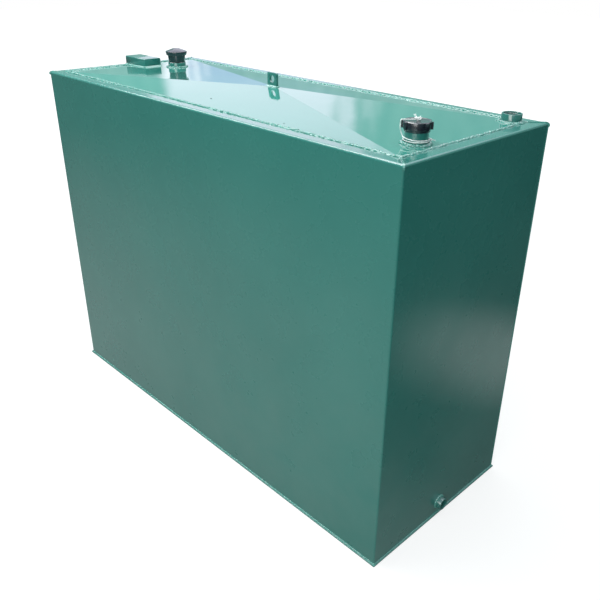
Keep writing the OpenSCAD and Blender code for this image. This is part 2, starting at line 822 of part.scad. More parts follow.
// One sheet of the inner tank's top, with the bore of each pipe that stands on it
module inner_top_sheet(x0, x1) {
    color(deep_green) difference() {
        translate([x0, -inner_w / 2, inner_top_z - inner_t]) cube([x1 - x0, inner_w, inner_t]);
        for (p = [[fill_x, fill_y, pipe_r - pipe_wall], [vent_x, vent_y, pipe_r - pipe_wall],
            [gauge_x, gauge_y, gauge_pipe_r - gauge_pipe_wall]])
            translate([p[0], p[1], inner_top_z - 2 * inner_t]) cylinder(h = 3 * inner_t, r = p[2]);
    }
}

module inner_top_left() {
    inner_top_sheet(-inner_l / 2, left_joint_x);
}

module inner_top_middle() {
    inner_top_sheet(left_joint_x, right_joint_x);
}

module inner_top_right() {
    inner_top_sheet(right_joint_x, inner_l / 2);
}

module inner_bottom() {
    color(deep_green) translate([-inner_l / 2, -inner_w / 2, inner_z]) cube([inner_l, inner_w, inner_t]);
}

module pipe_root_welds() {
    leg = 4;
    color(bead_green)
        for (p = [[fill_x, fill_y, pipe_r], [vent_x, vent_y, pipe_r], [gauge_x, gauge_y, gauge_pipe_r]])
            translate([p[0], p[1], inner_top_z]) rotate_extrude()
                polygon([[p[2] + clear, 0], [p[2] + clear + leg, 0], [p[2] + clear, leg]]);
}

module baffle(x) {
    w = inner_w - 2 * inner_t;
    c = baffle_cut;
    foot = inner_z + inner_t;
    color(deep_green) translate([x, 0, foot]) along_x(inner_t) difference() {
        polygon([[c - w / 2, 0], [w / 2 - c, 0], [w / 2, c], [w / 2, baffle_h],
            [-w / 2, baffle_h], [-w / 2, c]]);
        translate([0, baffle_h / 2]) circle(baffle_hole_r);
    }
}

module baffle_left() {
    baffle(-baffle_x);
}

module baffle_right() {
    baffle(baffle_x);
}

// Folded channel laid open side down across the base plate
module bearer(x) {
    t = sheet_t;
    w = bearer_w;
    h = bearer_h;
    color(deep_green) translate([x, 0, base_t]) along_y(inner_w - 20) polygon([[-w / 2, 0],
        [t - w / 2, 0], [t - w / 2, h - t], [w / 2 - t, h - t], [w / 2 - t, 0], [w / 2, 0],
        [w / 2, h], [-w / 2, h]]);
}

module bearer_left() {
    bearer(-side_spacer_x);
}

module bearer_middle() {
    bearer(0);
}

module bearer_right() {
    bearer(side_spacer_x);
}

// Short channel welded to the inner tank, its two legs reaching the bund's wall
module spacer(turn, along, out, gap) {
    t = inner_t;
    color(deep_green) rotate(turn) translate([along, -out, spacer_z]) rotate([0, 0, 180])
        along_x(spacer_w) polygon([[0, 0], [gap, 0], [gap, t], [t, t], [t, spacer_h - t],
            [gap, spacer_h - t], [gap, spacer_h], [0, spacer_h]]);
}

module end_spacer_left() {
    spacer(-90, 0, inner_l / 2, end_gap);
}

module end_spacer_right() {
    spacer(90, 0, inner_l / 2, end_gap);
}

module front_spacer_left() {
    spacer(0, -side_spacer_x, inner_w / 2, side_gap);
}

module front_spacer_right() {
    spacer(0, side_spacer_x, inner_w / 2, side_gap);
}

module back_spacer_left() {
    spacer(180, side_spacer_x, inner_w / 2, side_gap);
}

module back_spacer_right() {
    spacer(180, -side_spacer_x, inner_w / 2, side_gap);
}

base_plate();
front_skin();
left_end_skin();
right_end_skin();
back_skin();
top_panel();
base_seam_weld();
back_seam_welds();
top_seam_weld();
rim_corner_welds();
lifting_lug();
lug_weld();
vent_cowl();
cowl_weld();
fill_neck();
fill_weld();
fill_cap();
fill_cap_gasket();
tether_knot();
tether_drop();
tether_wraps();
vent_pipe();
vent_socket();
vent_weld();
vent_cap_seal();
vent_cap_body();
vent_cap_hood();
vent_gauze();
gauge_pipe();
gauge_socket();
gauge_weld();
drain_socket();
drain_weld();
inner_front_skin();
inner_left_end();
inner_right_end();
inner_back_skin();
inner_top_left();
inner_top_middle();
inner_top_right();
inner_bottom();
pipe_root_welds();
baffle_left();
baffle_right();
bearer_left();
bearer_middle();
bearer_right();
end_spacer_left();
end_spacer_right();
front_spacer_left();
front_spacer_right();
back_spacer_left();
back_spacer_right();
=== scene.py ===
from math import cos, pi, radians, sin
import bpy
import numpy as np
from mathutils import Matrix, Vector


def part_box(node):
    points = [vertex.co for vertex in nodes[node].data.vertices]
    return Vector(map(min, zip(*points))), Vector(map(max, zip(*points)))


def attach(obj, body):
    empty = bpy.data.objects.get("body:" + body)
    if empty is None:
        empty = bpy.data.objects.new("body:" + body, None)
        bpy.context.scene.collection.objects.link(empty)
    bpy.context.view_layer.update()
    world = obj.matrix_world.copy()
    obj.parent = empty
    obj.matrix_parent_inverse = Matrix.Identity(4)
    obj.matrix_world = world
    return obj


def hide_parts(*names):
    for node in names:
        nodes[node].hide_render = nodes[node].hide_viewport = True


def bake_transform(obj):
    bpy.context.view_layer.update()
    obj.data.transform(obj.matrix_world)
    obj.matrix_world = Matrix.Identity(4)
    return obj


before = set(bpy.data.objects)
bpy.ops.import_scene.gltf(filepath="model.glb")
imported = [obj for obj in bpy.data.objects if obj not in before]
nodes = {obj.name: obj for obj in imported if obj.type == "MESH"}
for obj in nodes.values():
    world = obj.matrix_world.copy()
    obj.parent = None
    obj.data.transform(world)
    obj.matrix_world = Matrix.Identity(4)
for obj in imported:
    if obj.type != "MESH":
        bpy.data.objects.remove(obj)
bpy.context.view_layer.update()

# The camera stands where the photograph was taken: in front of the tank, to the right of it
# and a little above its top. Its place and turn are the ones fitted to the tank's corners.
eye = Vector((1.72815, -1.47817, 1.62730))
right = Vector((0.703985, 0.710039, 0.015812))
down = Vector((0.332499, -0.309827, -0.890759))
ahead = Vector((-0.627574, 0.632338, -0.454201))
bpy.ops.object.camera_add(location=eye)
camera = bpy.context.object
camera.name = "photo_camera"
camera.rotation_euler = Matrix((right, -down, -ahead)).transposed().to_euler()
camera.data.sensor_width = 36
camera.data.lens = 40.755
camera.data.shift_x = -0.02705
camera.data.shift_y = -0.00097
camera.data.dof.use_dof = False
bpy.context.scene.camera = camera
bpy.context.scene.view_settings.view_transform = "Standard"


# The floor is a plain pale studio floor with the tank's soft shadow on it. The paint mirrors it
# darker, with a glow that only reflections see: brighter before the tank than behind it, and
# with one patch at the back right. That glow is painted reflection on the tank.
def node_tree(owner):
    owner.use_nodes = True
    owner.node_tree.nodes.clear()
    return owner.node_tree


def add_node(tree, kind, settings=(), **inputs):
    made = tree.nodes.new(kind)
    for name, value in dict(settings).items():
        setattr(made, name, value)
    for name, value in inputs.items():
        socket = made.inputs[int(name[1:]) if name[1:].isdigit() else name.replace("_", " ")]
        if isinstance(value, bpy.types.NodeSocket):
            tree.links.new(value, socket)
        else:
            socket.default_value = value
    return made


def calculate(tree, what, a, b=0.0, clamp=False):
    return add_node(tree, "ShaderNodeMath", {"operation": what, "use_clamp": clamp}, _0=a, _1=b).outputs[0]


def times(tree, a, b):
    return calculate(tree, "MULTIPLY", a, b)


def plus(tree, a, b):
    return calculate(tree, "ADD", a, b)


def blend_colours(tree, factor, a, b):
    mixed = add_node(tree, "ShaderNodeMix", {"data_type": "RGBA"}, _0=factor, _6=a, _7=b)
    return mixed.outputs[2]


def stretch(tree, value, low, high, out_low=0.0, out_high=1.0, eased=False):
    ease = {"interpolation_type": "SMOOTHSTEP" if eased else "LINEAR"}
    return add_node(tree, "ShaderNodeMapRange", ease, Value=value, From_Min=low, From_Max=high,
                    To_Min=out_low, To_Max=out_high).outputs[0]


def noise(tree, place, scale, detail=2.0, rough=0.5):
    return add_node(tree, "ShaderNodeTexNoise", Vector=place, Scale=scale, Detail=detail,
                    Roughness=rough).outputs[0]


def vector_number(tree, what, a, b=(0, 0, 0)):
    return add_node(tree, "ShaderNodeVectorMath", {"operation": what}, _0=a, _1=b).outputs["Value"]


def ray_kinds(tree):
    """Whether a ray comes off something glossy, and whether it comes straight from the camera."""
    kinds = tree.nodes.new("ShaderNodeLightPath").outputs
    straight = calculate(tree, "MAXIMUM", kinds["Is Camera Ray"], kinds["Is Transmission Ray"])
    return kinds["Is Glossy Ray"], straight


def show(tree, shader, kind="Material"):
    tree.links.new(shader.outputs[0], tree.nodes.new("ShaderNodeOutput" + kind).inputs[0])


bpy.ops.object.select_all(action="DESELECT")
bpy.ops.mesh.primitive_plane_add(size=40, location=(0, 0, -0.0004))
floor = bpy.context.object
floor.name = "studio_floor"
bpy.ops.object.transform_apply()
floor_paint = bpy.data.materials.new("studio_floor")
tree = node_tree(floor_paint)
glossy, straight = ray_kinds(tree)
spot = tree.nodes.new("ShaderNodeTexCoord").outputs["Object"]
distance = vector_number(tree, "LENGTH", spot)
leaving = stretch(tree, distance, 1.6, 6.0, 0.74, 1.0, eased=True)
spot_x, spot_y = add_node(tree, "ShaderNodeSeparateXYZ", _0=spot).outputs[:2]
towards_front = plus(tree, times(tree, spot_x, 0.35), times(tree, spot_y, 0.9))
back_side = stretch(tree, spot_x, 1.2, 0.3, 0.02, 0.20)
front_side = times(tree, stretch(tree, towards_front, 0.5, -0.7, back_side, 0.38),
                   stretch(tree, distance, 1.2, 5.5, 1.0, 0.25))
# A glow seen only by glossy rays: painted reflection, a pale patch on the tank's right-hand end.
reflection_patch_middle = (1.3, 1.0, 0)
reflection_patch = stretch(tree, vector_number(tree, "DISTANCE", spot, reflection_patch_middle), 0.62, 0.1, 0.0, 0.38, eased=True)
mirrored = times(tree, glossy, calculate(tree, "MAXIMUM", front_side, reflection_patch))
seen = calculate(tree, "MAXIMUM", times(tree, leaving, straight), mirrored)
plain = add_node(tree, "ShaderNodeBsdfDiffuse", Color=blend_colours(
    tree, glossy, (0.34, 0.35, 0.35, 1), (0.03, 0.03, 0.03, 1)))
white = add_node(tree, "ShaderNodeEmission", Color=(1, 1, 1, 1), Strength=seen)
show(tree, add_node(tree, "ShaderNodeAddShader", _0=plain.outputs[0], _1=white.outputs[0]))
floor.data.materials.append(floor_paint)

# The sky is plain white where the camera sees it. The paint mirrors trees in its place, with
# cloud that shows overhead and through a ragged gap in them.
world = bpy.data.worlds.new("studio_sky")
bpy.context.scene.world = world
tree = node_tree(world)
glossy, straight = ray_kinds(tree)
way = tree.nodes.new("ShaderNodeTexCoord").outputs["Generated"]
way_z = add_node(tree, "ShaderNodeSeparateXYZ", _0=way).outputs[2]
gap_way = (-0.636, -0.772, 0.0)
over_zero = 1.0001
level = calculate(tree, "SQRT", calculate(tree, "SUBTRACT", over_zero, times(tree, way_z, way_z)))
sideways = calculate(tree, "DIVIDE", vector_number(tree, "DOT_PRODUCT", way, gap_way), level)
wisps = stretch(tree, noise(tree, way, 11.0, 4.0, 0.6), 0.3, 0.7, -1.0, 1.0)
drawn_out = add_node(tree, "ShaderNodeCombineXYZ", _0=times(tree, sideways, 55.0),
                     _1=times(tree, way_z, 16.0)).outputs[0]
streaks = stretch(tree, noise(tree, drawn_out, 1.0, 3.0), 0.35, 0.65, -1.0, 1.0)
tatters = plus(tree, times(tree, wisps, 0.018), times(tree, streaks, 0.018))
ragged = plus(tree, sideways, tatters)
left_edge = calculate(tree, "SUBTRACT", sideways, times(tree, way_z, 0.17))
gap = times(tree, stretch(tree, left_edge, 0.117, 0.099, eased=True),
            stretch(tree, ragged, -0.200, -0.115, eased=True))
gap = times(tree, gap, stretch(tree, way_z, 0.02, 0.07, eased=True))
overhead = stretch(tree, plus(tree, way_z, times(tree, wisps, 0.06)), 0.42, 0.62, eased=True)
low_cloud = blend_colours(tree, stretch(tree, ragged, 0.050, 0.095, eased=True),
                          (0.36, 0.48, 0.66, 1), (0.84, 0.88, 0.96, 1))
cloud = blend_colours(tree, stretch(tree, way_z, 0.10, 0.22, eased=True), low_cloud, (0.88, 0.87, 1.0, 1))
cloud = blend_colours(tree, times(tree, stretch(tree, wisps, 0.1, 1.0), 0.35), cloud, (0.60, 0.68, 0.80, 1))
trees = blend_colours(tree, stretch(tree, plus(tree, wisps, streaks), -1.4, 1.4),
                      (0.17, 0.34, 0.32, 1), (0.24, 0.42, 0.39, 1))
mirrored = blend_colours(tree, calculate(tree, "MAXIMUM", gap, overhead), trees, cloud)
sky = blend_colours(tree, glossy, (0.86, 0.94, 1.0, 1), mirrored)
sky = blend_colours(tree, straight, sky, (1, 1, 1, 1))
mirrored_glow = plus(tree, 1.3, stretch(tree, way_z, 0.38, 0.60, 0.0, 0.6, eased=True))
glow = calculate(tree, "MAXIMUM", straight, stretch(tree, glossy, 0.0, 1.0, 0.5, mirrored_glow))
show(tree, add_node(tree, "ShaderNodeBackground", Color=sky, Strength=glow), "World")


# Three soft boxes light the tank: one overhead, one long strip over its left and one in front.
# The paint shows them as soft shines.
def soft_box(name, place, target, width, depth, power, tint):
    bpy.ops.object.light_add(type="AREA", location=place)
    lamp = bpy.context.object
    lamp.name = name
    lamp.data.shape = "RECTANGLE"
    lamp.data.size = width
    lamp.data.size_y = depth
    lamp.data.energy = power
    lamp.data.color = tint
    lamp.rotation_euler = (Vector(target) - Vector(place)).to_track_quat("-Z", "Y").to_euler()


soft_box("overhead_soft_box", (-0.2, 0.1, 3.7), (0, 0, 1.2), 3.2, 2.0, 72, (1.0, 0.99, 0.96))
soft_box("long_strip_soft_box", (-1.6, -0.9, 3.2), (-1.6, -0.9, 0.0), 4.5, 0.35, 60, (1.0, 1.0, 1.0))
soft_box("front_soft_box", (1.8, -3.5, 1.8), (0.3, 0, 0.5), 2.4, 2.0, 68, (1.0, 0.99, 0.97))


# The bund is folded 3 mm steel sheet, welded and then sprayed green with a gloss finish. The
# sheets are a little wavy from the welding and carry fine specks of dust. Low down the paint is
# painted paler, greyer and duller: painted reflection of the bright ground round the tank.
def group_sockets(group, takes, gives):
    for name, kind, value in takes:
        group.interface.new_socket(name=name, in_out="INPUT", socket_type=kind).default_value = value
    for name, kind in gives:
        group.interface.new_socket(name=name, in_out="OUTPUT", socket_type=kind)
    return group.nodes.new("NodeGroupInput").outputs, group.nodes.new("NodeGroupOutput").inputs


def give(group, given, *values):
    for value, socket in zip(values, given):
        group.links.new(value, socket)


COLOUR, NUMBER = "NodeSocketColor", "NodeSocketFloat"
film = bpy.data.node_groups.new("sprayed_paint_film", "ShaderNodeTree")
taken, given = group_sockets(film, [
    ("Colour", COLOUR, (0.04, 0.165, 0.135, 1)), ("Thin Colour", COLOUR, (0.05, 0.19, 0.16, 1)),
    ("Dust Colour", COLOUR, (0.20, 0.27, 0.24, 1)), ("Dust", NUMBER, 0.1), ("Roughness", NUMBER, 0.2),
    ("Peel", NUMBER, 0.3), ("Waves", NUMBER, 1.0)],
    [("Colour", COLOUR), ("Roughness", NUMBER), ("Gloss", NUMBER), ("Height", NUMBER)])
place = film.nodes.new("ShaderNodeTexCoord").outputs["Object"]
height = add_node(film, "ShaderNodeSeparateXYZ", _0=place).outputs[2]
coat = blend_colours(film, stretch(film, noise(film, place, 2.6, 3.0), 0.3, 0.7),
                     taken["Colour"], taken["Thin Colour"])
# Paler towards the bottom, in patches: painted reflection of the bright ground.
painted_low_reflection = times(film, stretch(film, height, 1.05, 0.1),
                stretch(film, noise(film, place, 4.5, 6.0, 0.62), 0.32, 0.72))
specks = times(film, stretch(film, noise(film, place, 260.0, 2.0), 0.70, 0.74), 0.8)
# Specks of dust, together with the painted reflection low down.
dust_and_reflection = calculate(film, "MULTIPLY", taken["Dust"], calculate(film, "MAXIMUM", painted_low_reflection, specks), clamp=True)
streaks = stretch(film, noise(film, place, 14.0, 3.0), 0.3, 0.7, -0.03, 0.05)
matted = plus(film, times(film, dust_and_reflection, 0.5), streaks)
peel = times(film, noise(film, place, 420.0, 1.0), taken["Peel"])
waves = times(film, noise(film, place, 4.2, 1.0), taken["Waves"])
give(film, given, blend_colours(film, dust_and_reflection, coat, taken["Dust Colour"]),
     plus(film, taken["Roughness"], matted), stretch(film, dust_and_reflection, 0.0, 0.6, 1.0, 0.3),
     plus(film, peel, waves))


def sprayed_paint(name, colour, thin, dust, rough, peel, waves, lacquer_rough):
    paint = bpy.data.materials.new(name)
    tree = node_tree(paint)
    layer = add_node(tree, "ShaderNodeGroup", {"node_tree": film}, Colour=colour, Thin_Colour=thin,
                     Dust=dust, Roughness=rough, Peel=peel, Waves=waves).outputs
    bump = add_node(tree, "ShaderNodeBump", Strength=1.0, Distance=0.001, Height=layer["Height"])
    shader = add_node(tree, "ShaderNodeBsdfPrincipled", Base_Color=layer["Colour"],
                      Roughness=layer["Roughness"], Coat_Weight=layer["Gloss"],
                      Normal=bump.outputs[0], Coat_Normal=bump.outputs[0])
    shader.inputs["Coat Roughness"].default_value = lacquer_rough
    show(tree, shader)
    return paint


def finish_nodes(finish, *names):
    for name in names:
        for slot in nodes[name].material_slots:
            slot.material = finish


def clear_selection():
    if bpy.context.mode != "OBJECT":
        bpy.ops.object.mode_set(mode="OBJECT")
    bpy.ops.object.select_all(action="DESELECT")


def softened(node, name, width, finish, body, slot, segments=2):
    """A merged copy of a CAD node with its sharp edges rounded over, in the node's place."""
    clear_selection()
    piece = bpy.data.objects.new(name, nodes[node].data.copy())
    bpy.context.collection.objects.link(piece)
    piece.select_set(True)
    bpy.context.view_layer.objects.active = piece
    bpy.ops.object.mode_set(mode="EDIT")
    bpy.ops.mesh.select_all(action="SELECT")
    bpy.ops.mesh.remove_doubles(threshold=0.00001)
    bpy.ops.mesh.dissolve_limited(angle_limit=radians(0.5))
    bpy.ops.object.mode_set(mode="OBJECT")
    edge = piece.modifiers.new("edge", "BEVEL")
    edge.width = width
    edge.segments = segments
    edge.limit_method = "ANGLE"
    edge.angle_limit = radians(35)
    edge.harden_normals = False
    bpy.ops.object.modifier_apply(modifier="edge")
    bpy.ops.object.shade_smooth_by_angle(angle=radians(32))
    piece.data.materials.clear()
    return finished(piece, finish, body, slot, node)


def finished(piece, finish, body, slot, *replaced):
    piece.data.materials.append(finish)
    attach(piece, body)
    if replaced:
        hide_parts(*replaced)
    return piece


# On the sides the painted reflection of the bright ground low down is strongest.
skin_paint = sprayed_paint("bund_skin_paint", (0.018, 0.178, 0.148, 1), (0.026, 0.198, 0.165, 1),
                           0.20, 0.26, 0.015, 1.6, 0.06)
finish_nodes(skin_paint, "front_skin", "left_end_skin", "right_end_skin", "back_skin")
softened("base_plate", "base_plate_edges", 0.0008, skin_paint, "tank", "bund_paint")

# The bund's top is one sheet, cross-broken into four shallow slopes that shed the rain. It has
# the same paint, laid on wetter, so it mirrors the sky and the fittings that stand on it. Its
# green is painted lighter than the sides': painted light for the stronger light on the top.
panel_paint = sprayed_paint("top_panel_paint", (0.042, 0.262, 0.215, 1), (0.054, 0.288, 0.240, 1),
                            0.05, 0.08, 0.03, 0.9, 0.03)
finish_nodes(panel_paint, "top_panel")
rim_x, rim_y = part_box("top_panel")[1][:2]
sheet_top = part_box("top_seam_weld")[0][2]
peak_x, peak_rise = 0.054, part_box("top_panel")[1][2] - sheet_top


def panel_z(x, y):
    fall_x = (rim_x - x) / (rim_x - peak_x) if x > peak_x else (x + rim_x) / (peak_x + rim_x)
    return sheet_top + peak_rise * max(0.0, min(fall_x, (rim_y - abs(y)) / rim_y))


# Every joint is welded from outside. A weld bead is a row of small scales, each laid against
# the one before, and the paint runs over it thick and shiny.
weld_paint = sprayed_paint("painted_weld", (0.050, 0.250, 0.205, 1), (0.085, 0.310, 0.260, 1),
                           0.05, 0.12, 0.4, 2.0, 0.05)
finish_nodes(weld_paint, "base_seam_weld", "back_seam_welds", "top_seam_weld", "rim_corner_welds",
             "lug_weld", "cowl_weld", "fill_weld", "vent_weld", "gauge_weld", "drain_weld")


def weld_scales(name, route, closed, width, rise, pitch, roll=0, wander=1.0, seed=1):
    """Scales of a weld bead along a route that runs anticlockwise round what it is welded to."""
    clear_selection()
    bpy.ops.mesh.primitive_uv_sphere_add(segments=8, ring_count=6, radius=0.5,
                                         scale=(2.3 * pitch, width, 2 * rise),
                                         rotation=(radians(roll), radians(-16), 0))
    bead = bpy.context.object
    bead.name = name
    bpy.ops.object.transform_apply()
    bpy.ops.object.shade_smooth()
    ends = list(zip(route, route[1:] + route[:1] if closed else route[1:]))
    length = sum((Vector(b) - Vector(a)).length for a, b in ends)
    row = bead.modifiers.new("row", "ARRAY")
    row.use_relative_offset = False
    row.use_constant_offset = True
    row.count = count = round(length / pitch)
    row.constant_offset_displace = (length / count, 0, 0)
    bpy.ops.object.modifier_apply(modifier="row")
    shape = np.empty(len(bead.data.vertices) * 3)
    bead.data.vertices.foreach_get("co", shape)
    shape = shape.reshape(count, -1, 3)
    middle = shape.mean(axis=1, keepdims=True)
    hand = np.random.default_rng(seed)
    shape = middle + (shape - middle) * hand.normal(1.0, 0.10 * wander, (count, 1, 3)) + hand.normal(
        0.0, wander, (count, 1, 3)) * (0.12 * pitch, 0.05 * width, 0.06 * rise)
    bead.data.vertices.foreach_set("co", shape.ravel())
    line = bpy.data.curves.new(name + "_line", "CURVE")
    line.dimensions = "3D"
    line.twist_mode = "Z_UP"
    spline = line.splines.new("POLY")
    spline.points.add(len(route) - 1)
    spline.points.foreach_set("co", [value for point in route for value in (*point, 1.0)])
    spline.use_cyclic_u = closed
    guide = bpy.data.objects.new(name + "_line", line)
    bpy.context.collection.objects.link(guide)
    bend = bead.modifiers.new("bend", "CURVE")
    bend.object = guide
    bend.deform_axis = "POS_X"
    bpy.ops.object.modifier_apply(modifier="bend")
    bpy.data.objects.remove(guide)
    return bead


def welded(*sizes, **ways):
    return finished(weld_scales(*sizes, **ways), weld_paint, "tank", "weld_paint")


def joined(*parts):
    clear_selection()
    for part in parts:
        part.select_set(True)
    bpy.context.view_layer.objects.active = parts[0]
    bpy.ops.object.join()
    return parts[0]


def ring_route(x, y, foot_r):
    """A ring on the panel, a little outside a round foot."""
    radius, lift, steps = foot_r + 0.0040, 0.0012, 40
    turns = [2 * pi * i / steps for i in range(steps)]
    return [(x + radius * cos(a), y + radius * sin(a),
             panel_z(x + radius * cos(a), y + radius * sin(a)) + lift) for a in turns]


def foot_route(low, high, off, z, corner):
    """A rectangle with round corners, a little outside a box's foot."""
    x0, y0, x1, y1 = low[0] - off, low[1] - off, high[0] + off, high[1] + off
    middles = ((x1 - corner, y0 + corner, -90), (x1 - corner, y1 - corner, 0),
               (x0 + corner, y1 - corner, 90), (x0 + corner, y0 + corner, 180))
    return [(x + corner * cos(radians(a + step)), y + corner * sin(radians(a + step)), z)
            for x, y, a in middles for step in (0, 22, 45, 68, 90)]


wall_x, wall_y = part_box("front_skin")[1][0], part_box("back_skin")[1][1]
plate_top, base_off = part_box("base_plate")[1][2], 0.0013
base_route = foot_route((-wall_x, -wall_y), (wall_x, wall_y), base_off, plate_top + base_off, 0.005)
welded("base_seam_scales", base_route, True, 0.0058, 0.0021, 0.0046, roll=45, seed=3)

cowl_low, cowl_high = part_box("vent_cowl")
gauge_low, gauge_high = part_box("gauge_socket")
seam_z, gauge_gap, cowl_gap = sheet_top + 0.0004, 0.012, 0.006
seam_runs = [[(-rim_x, -rim_y, seam_z), (rim_x, -rim_y, seam_z)],
             [(rim_x, -rim_y, seam_z), (rim_x, gauge_low[1] - gauge_gap, seam_z)],
             [(gauge_low[0] - gauge_gap, rim_y, seam_z), (-rim_x, rim_y, seam_z)],
             [(-rim_x, rim_y, seam_z), (-rim_x, cowl_high[1] + cowl_gap, seam_z)],
             [(-rim_x, cowl_low[1] - cowl_gap, seam_z), (-rim_x, -rim_y, seam_z)]]
finished(joined(*[weld_scales("top_seam_scales", run, False, 0.0090, 0.0030, 0.0070, wander=1.5, seed=10 + i)
                  for i, run in enumerate(seam_runs)]), weld_paint, "tank", "weld_paint")

# The lifting lug is one flat bar with a rounded head and a hole, welded upright on the peak.
# The empty tank hangs from it when it is put in place.
# Fittings have the bund's green painted darker: painted shade, for the cap's shade on the neck.
fitting_paint = sprayed_paint("fitting_paint", (0.016, 0.146, 0.124, 1), (0.024, 0.168, 0.143, 1),
                              0.05, 0.16, 0.1, 0.5, 0.05)
softened("lifting_lug", "lifting_lug_edges", 0.0008, fitting_paint, "tank", "fitting_paint")
lug_low, lug_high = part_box("lifting_lug")
lug_off = 0.0012
welded("lug_weld_scales", foot_route(lug_low, lug_high, lug_off, panel_z(lug_low[0], 0) + lug_off, 0.003),
       True, 0.0060, 0.0022, 0.0036, roll=45, seed=21)

# The cowl is a small folded box over a slot in the panel, where the bund breathes. The weld
# round its foot is lumpy.
softened("vent_cowl", "vent_cowl_edges", 0.0011, fitting_paint, "tank", "fitting_paint")
cowl_off, cowl_lift = 0.0014, 0.0022
welded("cowl_weld_scales", foot_route(cowl_low, cowl_high, cowl_off, sheet_top + cowl_lift, 0.004),
       True, 0.0080, 0.0030, 0.0052, roll=40, wander=1.6, seed=22)


# The fill neck is two-inch steel pipe that runs down into the inner tank, with a thick ring of
# weld where it comes through the panel.
def axis_place(low, high):
    return (low[0] + high[0]) / 2, (low[1] + high[1]) / 2


# The neck's darker green is painted shade from the cap above it.
finish_nodes(fitting_paint, "fill_neck")
neck_low, neck_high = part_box("fill_neck")
fill_x, fill_y = axis_place(neck_low, neck_high)
pipe_r = (neck_high[0] - neck_low[0]) / 2
welded("fill_weld_scales", ring_route(fill_x, fill_y, pipe_r),
       True, 0.0112, 0.0042, 0.0062, roll=24, wander=1.8, seed=31)

# The fill cap is moulded black plastic with eight grips round it, and screws on over a gasket.
# Its skin is finely stippled and a little faded.
moulding = bpy.data.node_groups.new("moulded_skin", "ShaderNodeTree")
taken, given = group_sockets(moulding, [
    ("Colour", COLOUR, (0.012, 0.016, 0.024, 1)), ("Faded Colour", COLOUR, (0.02, 0.026, 0.034, 1)),
    ("Roughness", NUMBER, 0.3), ("Stipple", NUMBER, 0.2)],
    [("Colour", COLOUR), ("Roughness", NUMBER), ("Height", NUMBER)])
place = moulding.nodes.new("ShaderNodeTexCoord").outputs["Object"]
faded = stretch(moulding, noise(moulding, place, 60.0, 4.0), 0.4, 0.65)
scuffs = stretch(moulding, noise(moulding, place, 900.0, 2.0), 0.62, 0.7)
give(moulding, given, blend_colours(moulding, faded, taken["Colour"], taken["Faded Colour"]),
     plus(moulding, taken["Roughness"], times(moulding, plus(moulding, faded, scuffs), 0.07)),
     times(moulding, noise(moulding, place, 1500.0, 1.0), taken["Stipple"]))


def moulded(name, colour, faded_colour, rough, stipple, polish):
    finish = bpy.data.materials.new(name)
    tree = node_tree(finish)
    skin = add_node(tree, "ShaderNodeGroup", {"node_tree": moulding}, Colour=colour,
                    Faded_Colour=faded_colour, Roughness=rough, Stipple=stipple).outputs
    bump = add_node(tree, "ShaderNodeBump", Strength=0.6, Distance=0.0003, Height=skin["Height"])
    shader = add_node(tree, "ShaderNodeBsdfPrincipled", Base_Color=skin["Colour"],
                      Roughness=skin["Roughness"], Normal=bump.outputs[0])
    shader.inputs["Coat Weight"].default_value = polish
    shader.inputs["Coat Roughness"].default_value = 0.14
    show(tree, shader)
    return finish


cap_plastic = moulded("cap_plastic", (0.004, 0.008, 0.015, 1), (0.009, 0.015, 0.024, 1), 0.24, 0.25, 0.8)
seal_rubber = moulded("seal_rubber", (0.010, 0.010, 0.011, 1), (0.020, 0.020, 0.020, 1), 0.62, 0.8, 0.0)
softened("fill_cap", "fill_cap_moulding", 0.0006, cap_plastic, "fill_cap", "cap_plastic", segments=3)
finish_nodes(seal_rubber, "fill_cap_gasket")


# The cap is tied to the neck with three-strand pale cord: a knot with a frayed end on the cap,
# a drop beside the grips, one and a half turns round the neck, and a tie. The route from knot
# to tie is 0.38 m long, and the knots take about half as much cord again.
def eased_route(points):
    step = 0.0011
    p = np.array([2 * points[0] - points[1], *points, 2 * points[-1] - points[-2]])
    t = np.linspace(0, 1, 8, endpoint=False)[:, None]
    curved = [0.5 * (2 * b + (c - a) * t + (2 * a - 5 * b + 4 * c - d) * t**2
                     + (3 * b - a - 3 * c + d) * t**3)
              for a, b, c, d in zip(p, p[1:], p[2:], p[3:])]
    curved = np.concatenate([*curved, p[-2:-1]])
    gone = np.concatenate([[0], np.cumsum(np.linalg.norm(np.diff(curved, axis=0), axis=1))])
    even = np.linspace(0, gone[-1], max(4, round(gone[-1] / step)))
    return np.stack([np.interp(even, gone, curved[:, k]) for k in range(3)], axis=1)


def strands(route, offset, lay, count):
    """The paths of the strands that are wound round a route."""
    along = np.gradient(route, axis=0)
    along /= np.linalg.norm(along, axis=1, keepdims=True)
    side = np.cross(along[0], (0.31, 0.52, 0.79))
    sides = []
    for t in along:
        side = side - t * (side @ t)
        side = side / np.linalg.norm(side)
        sides.append(side)
    sides = np.array(sides)
    others = np.cross(along, sides)
    gone = np.concatenate([[0], np.cumsum(np.linalg.norm(np.diff(route, axis=0), axis=1))])
    turns = 2 * pi * gone / lay
    return [route + offset * (np.cos(turns + 2 * pi * k / count)[:, None] * sides
                              + np.sin(turns + 2 * pi * k / count)[:, None] * others) for k in range(count)]


def fibre_tubes(name, paths, radius):
    line = bpy.data.curves.new(name, "CURVE")
    line.dimensions = "3D"
    line.bevel_depth = radius
    line.bevel_resolution = 1
    line.use_fill_caps = True
    for path in paths:
        spline = line.splines.new("POLY")
        spline.points.add(len(path) - 1)
        spline.points.foreach_set("co", np.column_stack([path, np.ones(len(path))]).ravel())
    tube = bpy.data.objects.new(name, line)
    bpy.context.collection.objects.link(tube)
    clear_selection()
    tube.select_set(True)
    bpy.context.view_layer.objects.active = tube
    bpy.ops.object.convert(target="MESH")
    bpy.ops.object.shade_smooth()
    return bpy.context.object


